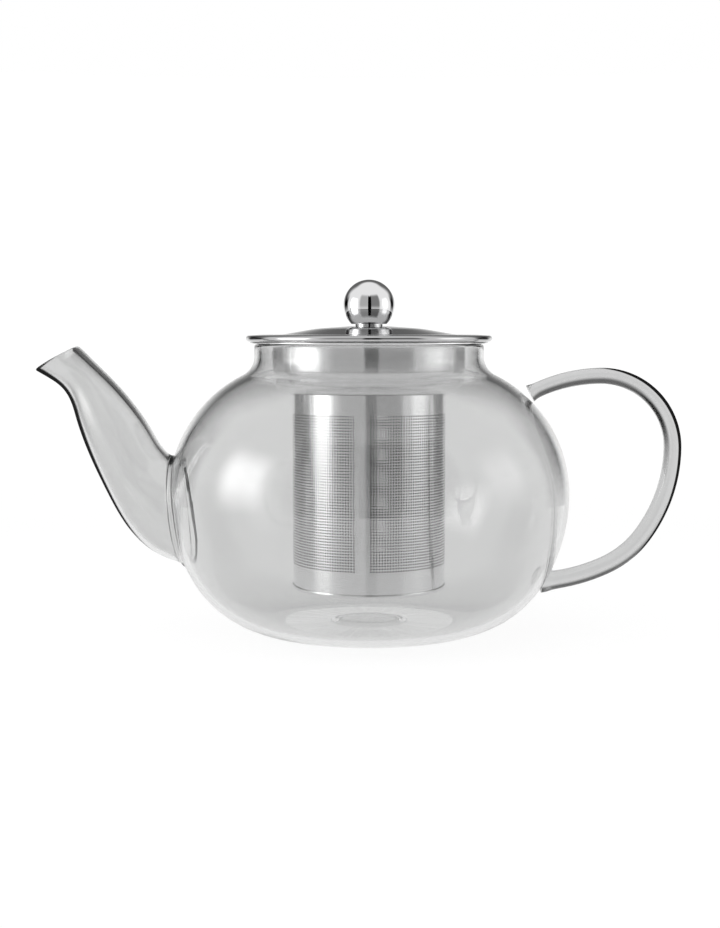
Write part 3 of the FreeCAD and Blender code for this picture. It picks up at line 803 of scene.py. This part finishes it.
DOME_BENDS = (0, 26 * MM, 60 * MM, 14 * MM, 16 * MM, 0)  # bend at each corner of the lid's sheet
KNEE_DROP = 0.29  # share of the dome's fall that lies inside its middle corner
ROLL_START, ROLL_END = math.radians(165), math.radians(72)  # bearings round the rolled edge
LID_STEP = 0.9 * MM


def lid_outline(sizes):
    """Closed outline of the lid's sheet: underside outward, round the rolled edge, top inward."""
    sheet, bead = sizes.sheet, sizes.bead
    crown = LID_HIGH[2]
    flat = crown - sizes.dome_rise
    edge = LID_HIGH[0] - bead
    centre = LID_LOW[2] + bead
    skirt = SKIRT_HIGH[0]
    inner, outer = skirt - sizes.ring_inside, skirt + sizes.ring_outside
    middle = (sizes.dome_flat + inner) / 2
    knee = crown - KNEE_DROP * sizes.dome_rise
    hole = sizes.hole_radius
    shape = [(sizes.dome_flat, crown), (middle, knee), (inner, flat), (outer, flat)]
    touch = (edge + bead * math.cos(ROLL_END), centre + bead * math.sin(ROLL_END))
    tuck = (edge - 0.93 * bead, centre + 0.42 * bead)
    below = [(r, z - sheet) for r, z in shape]
    top = rounded([(hole, crown), *shape, touch], DOME_BENDS, step=LID_STEP)
    under = rounded([(hole, crown - sheet), *below, tuck], DOME_BENDS, step=LID_STEP)
    roll = arc((edge, centre), bead, ROLL_START, 2 * math.pi + ROLL_END, 0.2 * MM)
    return join(under, roll, top[::-1]), len(under), len(roll)


def make_lid(sizes):
    """Lid cover with its rolled edge, the vent on the spout's side and the screw's hole."""
    outline, under, roll = lid_outline(sizes)

    def loop(bearing, face):
        # The upper face comes first; its outline runs inward, so up the outline is towards 0.
        out = sizes.vent_offset - sizes.vent_radius * np.sin(bearing)
        aside = sizes.vent_radius * np.cos(bearing)
        return np.hypot(out, aside), np.pi + np.arctan2(aside, out)

    radius = outline[:, 0]
    lower = int(np.argmin(np.abs(radius[:under] - sizes.vent_offset)))
    upper = under + roll + int(np.argmin(np.abs(radius[under + roll :] - sizes.vent_offset)))
    return pierced("lid_dome", outline, 384, True, 0, (upper, lower), (3, 6), loop, rings=6)


def round_ring(name, sides, ends, soft, segments, step=0.08 * MM):
    """Ring between two radii and two heights: corners (inner, low) outward, then up and back."""
    (inner, outer), (low, high) = sides, ends
    corners = [(inner, low), (outer, low), (outer, high), (inner, high)]
    outline = rounded(corners, [r * MM for r in soft], closed=True, step=step)
    return turned(name, outline, segments, True)


def make_skirt(sizes):
    """Locating ring under the lid, with a rounded lower edge."""
    sides = SKIRT_HIGH[0] - sizes.sheet, SKIRT_HIGH[0]
    ends = SKIRT_LOW[2], SKIRT_HIGH[2] - HAIR
    return round_ring("lid_skirt", sides, ends, (0.28, 0.28, 0, 0), 256, 0.35 * MM)


def make_ball():
    """Ball with a flat underside and a blind bore for the bush."""
    low, high = BALL_LOW[2] + HAIR, BALL_HIGH[2]
    radius = BALL_HIGH[0]
    centre = high - radius
    sink = centre - low
    bore, deep = BUSH_HIGH[0] + HAIR, BUSH_HIGH[2] + HAIR
    flat, soft = math.sqrt(radius**2 - sink**2), 0.5 * MM
    start = -math.asin((sink - 0.12 * MM) / radius)
    ball = arc((0, centre), radius, start, math.pi / 2, 0.35 * MM)
    ball[-1, 0] = 0.0
    under = rounded([(bore, low), (flat, low), tuple(ball[0])], [0, soft, 0], step=0.1 * MM)
    return turned("ball", join([(0, deep), (bore, deep)], under, ball), 160)


def make_spacer(sizes):
    """Spacer ring between the lid and the ball."""
    ends = NECK_LOW[2] + HAIR, NECK_HIGH[2] - HAIR
    sides = sizes.hole_radius, NECK_HIGH[0]
    return round_ring("spacer_ring", sides, ends, (0, 0.2, 0.2, 0), 96)


def make_bush(sizes):
    """Threaded bush pressed into the ball."""
    ends = BUSH_LOW[2] + HAIR, BUSH_HIGH[2] - HAIR
    sides = sizes.hole_radius, BUSH_HIGH[0]
    return round_ring("threaded_bush", sides, ends, (0.15, 0.15, 0.3, 0.3), 72)


def make_washer(sizes):
    """Flat washer under the lid's sheet, with its stamped edges rounded."""
    ends = WASHER_LOW[2] + HAIR, WASHER_HIGH[2] - HAIR
    sides = sizes.hole_radius, WASHER_HIGH[0]
    return round_ring("flat_washer", sides, ends, (0.12, 0.22, 0.12, 0.05), 96, 0.06 * MM)


def make_screw():
    """Pan-head screw: domed head with a cross recess, a shank with thread ridges, and a tip.

    The head's surface is its dome's height, less a cross whose depth fades with distance from the
    two arms. The shank's radius is a saw wave of height, wound once round for every pitch.
    """
    low, high = SCREW_LOW[2], SCREW_HIGH[2]
    head, head_radius = WASHER_LOW[2] - HAIR, SCREW_HIGH[0]
    dome_rise, edge = 1.0 * MM, 0.15 * MM
    arm_half, arm_slope, arm_reach, end_slope = 0.62 * MM, 0.22 * MM, 2.2 * MM, 0.7 * MM
    recess = 1.35 * MM
    shank, pitch, cut = 1.98 * MM, 0.7 * MM, 0.28 * MM
    thread_start, thread_fade = 119.0 * MM, 1.0 * MM
    tip_radius, tip_length = 1.1 * MM, 0.5 * MM
    turn = np.linspace(0, 2 * np.pi, 96, endpoint=False)

    share = np.concatenate([np.linspace(0.02, 0.9, 34), [0.94, 0.97, 0.99, 1.0]])
    across = share * head_radius
    dome = low + dome_rise * (1 - np.sqrt(1 - 0.98 * share**2))
    x, y = across[:, None] * np.cos(turn), across[:, None] * np.sin(turn)
    arm = np.minimum(np.abs(x), np.abs(y))
    reach = np.maximum(np.abs(x), np.abs(y))
    depth = np.clip((arm_half - arm) / arm_slope, 0, 1)
    depth = depth * np.clip((arm_reach - reach) / end_slope, 0, 1)
    rows = [np.stack([x, y, dome[:, None] + recess * depth], -1)]

    thread = np.arange(head + 0.05 * MM, high - tip_length, pitch / 8)
    height = np.concatenate([[head - edge, head, head], thread])
    phase = (height[:, None] / pitch + turn / (2 * np.pi)) % 1.0
    ridge = np.abs(phase - 0.5) * 2
    fade = np.clip((height[:, None] - thread_start) / thread_fade, 0, 1)
    radius = shank - cut * ridge * fade
    radius[0], radius[1], radius[2] = head_radius, head_radius - edge, shank
    z = height[:, None] + 0 * turn
    rows.append(np.stack([radius * np.cos(turn), radius * np.sin(turn), z], -1))
    rows.append(ring_points(np.array([tip_radius]), np.array([high]), turn))
    return capped("pan_head_screw", np.concatenate(rows), 30.0)


# ---- finishes ------------------------------------------------------------------------------


def blank_material(name):
    """Material with nothing but its output, and the output's surface socket."""
    material = bpy.data.materials.new(name)
    material.use_nodes = True
    tree = material.node_tree
    tree.nodes.clear()
    return material, tree, tree.nodes.new("ShaderNodeOutputMaterial").inputs["Surface"]


def finish_of(name):
    """Material with one principled shader on its output."""
    material, tree, surface = blank_material(name)
    shader = tree.nodes.new("ShaderNodeBsdfPrincipled")
    tree.links.new(shader.outputs[0], surface)
    return material, tree, shader, surface


def node(tree, kind, links=(), **values):
    """Node of a kind, with its settings, socket values and incoming links."""
    made = tree.nodes.new(kind)
    for key, given in values.items():
        if hasattr(made, key):
            setattr(made, key, given)
        else:
            made.inputs[key.replace("_", " ")].default_value = given
    for socket, source in links:
        tree.links.new(source, made.inputs[socket])
    return made


def turned_position(tree):
    """Object position as (distance from the upright axis, 0, height): rings of the lathe."""
    place_on = node(tree, "ShaderNodeTexCoord").outputs["Object"]
    parts = node(tree, "ShaderNodeSeparateXYZ", [(0, place_on)])
    flat = node(tree, "ShaderNodeCombineXYZ", [(0, parts.outputs[0]), (1, parts.outputs[1])])
    radius = node(tree, "ShaderNodeVectorMath", [(0, flat.outputs[0])], operation="LENGTH")
    rings = node(
        tree, "ShaderNodeCombineXYZ", [(0, radius.outputs["Value"]), (2, parts.outputs[2])]
    )
    return place_on, rings.outputs[0]


def noise(tree, vector, scale, detail=2.0, roughness=0.5):
    """Soft random value from 0 to 1 over a place."""
    return node(
        tree, "ShaderNodeTexNoise", [("Vector", vector)],
        Scale=scale, Detail=detail, Roughness=roughness,
    ).outputs["Fac"]


def ranged(tree, value, **limits):
    """A value carried from one range to another."""
    return node(tree, "ShaderNodeMapRange", [("Value", value)], **limits).outputs["Result"]


def worked(tree, operation, first, second):
    """Two values joined by one operation."""
    return node(tree, "ShaderNodeMath", [(0, first), (1, second)], operation=operation).outputs[0]


def clouded(tree, value, tone, dim):
    """A colour that varies from a dimmed tone to the full one."""
    ramp = node(tree, "ShaderNodeValToRGB", [(0, value)])
    ramp.color_ramp.elements[0].color = (*[c * dim for c in tone], 1)
    ramp.color_ramp.elements[1].color = (*tone, 1)
    return ramp.outputs[0]


def spread(tree, value, low, high):
    """The middle half of a soft random value carried to low..high."""
    return ranged(tree, value, From_Min=0.25, From_Max=0.75, To_Min=low, To_Max=high)


def bump(tree, shader, layers):
    """Stack bump layers (height, distance in metres), each over the one before."""
    normal = None
    for height, distance in layers:
        links = [("Height", height)] + ([("Normal", normal)] if normal else [])
        normal = node(tree, "ShaderNodeBump", links, Distance=distance, Strength=1.0).outputs[0]
    tree.links.new(normal, shader.inputs["Normal"])


PAINTED_SHADE_LEAN = (0.25, 0.6)  # lean of a face at which the painted edge shade begins, and at which it is whole
PAINTED_SHADE_NARROW = 0.4  # how much nearer to edge on a face has to be where the painted shade is weak
PAINTED_SHADE_SOFT = 0.12  # over how much of a turn the painted shade comes in
PAINTED_SHADE_PRESENT = 0.3  # share from which the painted shade is at full strength


def glass_finish(name, tint, ior, wave, lean, reach, edge):
    """Blown glass: slow waves of the flame, and painted shade where the wall is seen edge on.

    The painted shade mixes the glass towards black, in place of the dark room seen through the
    glass's edges. Its weight is the product of how far a face turns from the eye, how far it leans
    one way, so that one side is darker, and how far it lies beyond the bowl on one side.
    """
    material, tree, shader, surface = finish_of(name)
    place_on = node(tree, "ShaderNodeTexCoord").outputs["Object"]
    shader.inputs["Transmission Weight"].default_value = 1.0
    shader.inputs["IOR"].default_value = ior
    paint = clouded(tree, noise(tree, place_on, 30.0), tint, 0.98)
    # Painted shade: weights for the dark edge lines, from facing, lean and reach.
    facing = node(tree, "ShaderNodeLayerWeight", Blend=0.5).outputs["Facing"]
    normal = node(tree, "ShaderNodeNewGeometry").outputs["Normal"]
    toward = node(tree, "ShaderNodeVectorMath", [(0, normal)], operation="DOT_PRODUCT")
    toward.inputs[1].default_value = lean
    leaning = ranged(tree, toward.outputs["Value"], From_Min=PAINTED_SHADE_LEAN[0], From_Max=PAINTED_SHADE_LEAN[1])
    across = node(tree, "ShaderNodeSeparateXYZ", [(0, place_on)]).outputs[0]
    beyond = ranged(tree, across, From_Min=reach[0], From_Max=reach[1])
    share = worked(tree, "MULTIPLY", leaning, beyond)
    wider = ranged(tree, share, To_Min=-PAINTED_SHADE_NARROW, To_Max=0.0)
    edge_on_shade = ranged(
        tree, worked(tree, "ADD", facing, wider), interpolation_type="SMOOTHSTEP",
        From_Min=edge, From_Max=edge + PAINTED_SHADE_SOFT,
    )
    painted_edge_shade = worked(tree, "MULTIPLY", edge_on_shade, ranged(tree, share, From_Max=PAINTED_SHADE_PRESENT))
    tree.links.new(paint, shader.inputs["Base Color"])
    # Painted shade: near-black diffuse mixed over the glass at its edges, in place of the dark
    # room they refract.
    painted_shade_black = node(tree, "ShaderNodeBsdfDiffuse", Color=(0.012, 0.012, 0.012, 1))
    both = node(
        tree, "ShaderNodeMixShader", [(0, painted_edge_shade), (1, shader.outputs[0]), (2, painted_shade_black.outputs[0])]
    )
    tree.links.new(both.outputs[0], surface)
    tree.links.new(
        spread(tree, noise(tree, place_on, 60.0), 0.0, 0.01), shader.inputs["Roughness"]
    )
    bump(tree, shader, [(noise(tree, place_on, 22.0, 1.0), wave)])
    return material


def steel_finish(name, tone, polish, ripple, grain, size=45.0, drawn=0.0, inside=None):
    """Polished steel: slow ripples of the press, under fine rings of the lathe.

    Drawn sheet spreads its gloss along the upright, across the rings. Nearer to the axis than
    the inside radius the colour is painted shade, near black, for the shade inside the tube and
    its holes.
    """
    material, tree, shader, _ = finish_of(name)
    place_on, rings = turned_position(tree)
    shader.inputs["Metallic"].default_value = 1.0
    fine = noise(tree, rings, 2600.0, 3.0, 0.7)
    paint = clouded(tree, noise(tree, place_on, 90.0, 3.0), tone, 0.965)
    # Painted shade: near black nearer the axis than the inside radius, on the tube's inner face,
    # its hole walls and the base cap's middle.
    if inside:
        depth = node(tree, "ShaderNodeSeparateXYZ", [(0, rings)]).outputs[0]
        near = ranged(
            tree, depth, From_Min=inside - 0.12 * MM, From_Max=inside - 0.02 * MM
        )
        painted_shade_mix = node(tree, "ShaderNodeMix", [("Factor", near)], data_type="RGBA")
        colours = [c for c in painted_shade_mix.inputs if c.type == "RGBA"]
        colours[0].default_value = (0.035, 0.035, 0.035, 1)
        tree.links.new(paint, colours[1])
        paint = [c for c in painted_shade_mix.outputs if c.type == "RGBA"][0]
    tree.links.new(paint, shader.inputs["Base Color"])
    tree.links.new(spread(tree, fine, polish * 0.94, polish * 1.08), shader.inputs["Roughness"])
    if drawn:
        shader.inputs["Anisotropic"].default_value = drawn
        shader.inputs["Anisotropic Rotation"].default_value = 0.25
        around = node(tree, "ShaderNodeTangent", direction_type="RADIAL", axis="Z")
        tree.links.new(around.outputs[0], shader.inputs["Tangent"])
    bump(tree, shader, [(noise(tree, place_on, size, 1.0), ripple), (fine, grain)])
    return material


# ---- stage ---------------------------------------------------------------------------------


def glow(name, tone, strength, reflect=0.0):
    """Paint that gives an even light of its own."""
    material, _, shader, _ = finish_of(name)
    shader.inputs["Base Color"].default_value = (*[c * reflect for c in tone], 1)
    shader.inputs["Roughness"].default_value = 0.9
    shader.inputs["Specular IOR Level"].default_value = 0.0
    shader.inputs["Emission Color"].default_value = (*tone, 1)
    shader.inputs["Emission Strength"].default_value = strength
    return material


# Cards round the object. Each has its name, its distance, its first and last bearing, its lower
# and upper edge, its tone and strength, how far it closes in above, and how much of its width and
# of its height fades out at each edge.
CARDS = (
    ("card_front", 0.47, 2, 54, -0.1, 0.7, 0.24, 1.0, 0.0, 0.2, 0.3),
    ("card_camera", 0.45, -6, 11, -0.2, 0.6, 0.0, 1.0, 0.0, 0.1, 0.2),
    ("card_left", 0.48, -50, 3, -0.1, 0.7, 0.5, 1.0, 0.0, 0.25, 0.3),
    ("flag_left", 0.45, -150, -104, -0.06, 0.4, 0.0, 1.0, 0.0, 0.25, 0.45),
    ("flag_right", 0.45, 106, 148, -0.06, 0.4, 0.0, 1.0, 0.0, 0.3, 0.45),
    ("soft_left", 0.49, -94, -50, -0.03, 0.4, 1.0, 6.0, 0.0, 0.35, 0.45),
    ("soft_right", 0.49, 58, 98, -0.03, 0.4, 1.0, 2.2, 0.0, 0.35, 0.45),
    ("header", 0.75, 110, 250, 0.08, 0.85, 0.15, 1.0, 0.35, 0.25, 0.3),
)


def screen(name, distance, start, end, low, high, tone, strength, lean, soft, rise):
    """Upright curved card round the object, with edges that fade out.

    Bearings are in degrees from the camera's side, positive towards the handle. The card is a
    grid over bearing and height, and may close in above by the lean. Its weight is a smooth step
    from each edge inward, over the soft share of its width and the rise share of its height.
    """
    across, up = np.meshgrid(np.linspace(0, 1, 49), np.linspace(0, 1, 25))
    bearing = np.radians(start + (end - start) * across - 90)
    radius = distance - lean * up
    height = low + (high - low) * up
    points = np.stack([radius * np.cos(bearing), radius * np.sin(bearing), height], -1)
    piece = mesh_object(name, points.reshape(-1, 3), grid_faces(25, 49, False, False))
    weight = np.ones_like(up)
    for share, width in ((across, soft), (1 - across, soft), (up, rise), (1 - up, rise)):
        step = np.clip(share / width, 0, 1)
        weight = weight * step * step * (3 - 2 * step)
    fade = piece.data.attributes.new("fade", "FLOAT", "POINT")
    fade.data.foreach_set("value", weight.ravel().astype(np.float32))
    material, tree, surface = blank_material(name + "_light")
    clear = node(tree, "ShaderNodeBsdfTransparent")
    lit = node(tree, "ShaderNodeEmission", Color=(tone, tone, tone, 1), Strength=strength)
    value = node(tree, "ShaderNodeAttribute", attribute_name="fade").outputs["Fac"]
    both = node(
        tree, "ShaderNodeMixShader", [(0, value), (1, clear.outputs[0]), (2, lit.outputs[0])]
    )
    tree.links.new(both.outputs[0], surface)
    piece.data.materials.append(material)
    piece.visible_camera = False
    piece.visible_shadow = False
    piece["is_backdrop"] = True
    return piece


def make_floor(sizes):
    """Pale floor, flat under the pot and rising in a curve far behind it on every side."""
    flat, curve, around = 1.6, 0.6, 96
    rise = np.linspace(0.1, 1.5, 10)
    radius = np.concatenate([np.linspace(0.05, flat, 12), flat + curve * np.sin(rise)])
    height = np.concatenate([np.zeros(12), curve * (1 - np.cos(rise))])
    turn = np.linspace(0, 2 * np.pi, around, endpoint=False)
    points = ring_points(radius, height, turn).reshape(-1, 3)
    quads = grid_faces(len(radius), around, False, True)[:, ::-1]
    middle = fan(len(points), np.arange(around), True)
    points = np.concatenate([points, [[0, 0, 0]]])
    piece = mesh_object("floor", points, quads, middle)
    piece.data.materials.append(glow("floor_paint", tuple(sizes.floor), sizes.floor_glow, 0.12))
    piece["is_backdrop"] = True
    return piece


# ---- operators -----------------------------------------------------------------------------


class TEAPOT_OT_glass(bpy.types.Operator):
    """Make the bowl with its spout, and the handle"""

    bl_idname = "teapot.glass"
    bl_label = "Glass"

    def execute(self, context):
        sizes = context.scene.teapot_glass
        tint = tuple(sizes.tint)
        # Painted shade at the edges: on the spout's lower left for the bowl, on the outer right of
        # the rod for the handle.
        blown = glass_finish(
            "clear_glass_blown", tint, sizes.ior, 0.12 * MM, (-0.8, 0.0, -0.6),
            (-0.083, -0.118), 0.38,
        )
        rod = glass_finish(
            "clear_glass_rod", tuple(sizes.rod_tint), sizes.ior, 0.03 * MM, (0.92, 0.0, 0.39),
            (0.083, 0.1), 0.06,
        )
        place(make_pot(sizes), blown, "pot", "clear_glass", "glass_body", "spout")
        place(make_handle(sizes), rod, "pot", "clear_glass", "handle")
        return {"FINISHED"}


class TEAPOT_OT_infuser(bpy.types.Operator):
    """Make the infuser's cup, perforated tube and base"""

    bl_idname = "teapot.infuser"
    bl_label = "Infuser"

    def execute(self, context):
        sizes = context.scene.teapot_infuser
        tone = tuple(sizes.steel)
        sheet = steel_finish("pressed_steel", tone, 0.20, 0.05 * MM, 0.00015 * MM, 45.0, 0.95)
        # The tube's outer radius is where painted shade begins: nearer the axis this steel is near
        # black.
        drawn = steel_finish(
            "perforated_steel", tone, 0.23, 0.14 * MM, 0.0001 * MM, 55.0, 0.95,
            float(TUBE_HIGH[0]),
        )
        place(make_cup(sizes), sheet, "infuser", "polished_steel", "infuser_cup")
        for sector in range(TUBE_SECTORS):
            piece = make_tube_sector(sizes, sector, TUBE_SECTORS)
            place(piece, drawn, "infuser", "infuser_steel", "infuser_tube")
        place(make_base(sizes), drawn, "infuser", "infuser_steel", "infuser_base")
        return {"FINISHED"}


class TEAPOT_OT_lid(bpy.types.Operator):
    """Make the lid's cover and its locating ring"""

    bl_idname = "teapot.lid"
    bl_label = "Lid"

    def execute(self, context):
        sizes = context.scene.teapot_lid
        tone = tuple(sizes.steel)
        steel = steel_finish("spun_steel", tone, 0.10, 0.05 * MM, 0.0008 * MM, 25.0)
        place(make_lid(sizes), steel, "lid", "polished_steel", "lid_cover")
        place(make_skirt(sizes), steel, "lid", "polished_steel", "lid_locating_ring")
        return {"FINISHED"}


class TEAPOT_OT_knob(bpy.types.Operator):
    """Make the ball knob, its spacer, bush, washer and screw"""

    bl_idname = "teapot.knob"
    bl_label = "Knob"

    def execute(self, context):
        sizes = context.scene.teapot_lid
        bright, tone = tuple(sizes.knob_steel), tuple(sizes.steel)
        mirror = steel_finish("mirror_steel", bright, 0.03, 0.008 * MM, 0.0001 * MM)
        plated = steel_finish("plated_steel", tone, 0.22, 0.01 * MM, 0.001 * MM)
        place(make_ball(), mirror, "lid", "mirror_steel", "knob_ball")
        place(make_spacer(sizes), mirror, "lid", "mirror_steel", "knob_neck")
        place(make_bush(sizes), plated, "lid", "fastener_steel", "knob_insert")
        place(make_washer(sizes), plated, "lid", "fastener_steel", "knob_washer")
        place(make_screw(), plated, "lid", "fastener_steel", "knob_screw")
        return {"FINISHED"}


class TEAPOT_OT_stage(bpy.types.Operator):
    """Set up the pale floor, the studio cards and the camera"""

    bl_idname = "teapot.stage"
    bl_label = "Stage"

    def execute(self, context):
        sizes = context.scene.teapot_stage
        world = bpy.data.worlds.new("studio")
        world.use_nodes = True
        sky = world.node_tree.nodes["Background"]
        sky.inputs["Color"].default_value = (1, 1, 1, 1)
        sky.inputs["Strength"].default_value = 1.0
        context.scene.world = world
        make_floor(sizes)
        for card in CARDS:
            screen(*card)
        camera = bpy.data.cameras.new("camera")
        camera.lens = sizes.lens
        camera.sensor_fit = "VERTICAL"
        camera.sensor_width = camera.sensor_height = 36.0
        camera.clip_start = 0.01
        eye = bpy.data.objects.new("camera", camera)
        eye.location = (-sizes.aside, -sizes.distance, sizes.height)
        eye.rotation_euler = (math.pi / 2 - sizes.tilt, 0, 0)
        context.scene.collection.objects.link(eye)
        context.scene.camera = eye
        context.scene.view_settings.view_transform = "Standard"
        context.scene.view_settings.look = "None"
        return {"FINISHED"}


class TEAPOT_PT_sizes(bpy.types.Panel):
    """Sizes, colours and steps of the teapot"""

    bl_label = "Teapot"
    bl_idname = "TEAPOT_PT_sizes"
    bl_space_type = "VIEW_3D"
    bl_region_type = "UI"
    bl_category = "Teapot"

    def draw(self, context):
        for step, group in STEPS:
            part = self.layout.box()
            part.operator(step)
            if group:
                sizes = getattr(context.scene, group)
                for name in sizes.bl_rna.properties.keys():
                    if name not in {"rna_type", "name"}:
                        part.prop(sizes, name)


STEPS = (
    ("teapot.glass", "teapot_glass"),
    ("teapot.infuser", "teapot_infuser"),
    ("teapot.lid", "teapot_lid"),
    ("teapot.knob", None),
    ("teapot.stage", "teapot_stage"),
)
GROUPS = {
    "teapot_glass": TeapotGlassSizes,
    "teapot_infuser": TeapotInfuserSizes,
    "teapot_lid": TeapotLidSizes,
    "teapot_stage": TeapotStageSizes,
}
OPERATORS = (TEAPOT_OT_glass, TEAPOT_OT_infuser, TEAPOT_OT_lid, TEAPOT_OT_knob, TEAPOT_OT_stage)


def register():
    for group in (*GROUPS.values(), *OPERATORS, TEAPOT_PT_sizes):
        bpy.utils.register_class(group)
    for name, group in GROUPS.items():
        setattr(bpy.types.Scene, name, PointerProperty(type=group))


def unregister():
    for name in GROUPS:
        delattr(bpy.types.Scene, name)
    for group in (TEAPOT_PT_sizes, *reversed(OPERATORS), *GROUPS.values()):
        bpy.utils.unregister_class(group)


def main():
    register()
    for step, _ in STEPS:
        family, action = step.split(".")
        getattr(getattr(bpy.ops, family), action)()
    boxes = {
        name: [[float(c) for c in corner] for corner in bounds]
        for name, bounds in (("cad", CAD_BOX), ("visual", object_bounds()))
    }


if __name__ == "__main__":
    main()
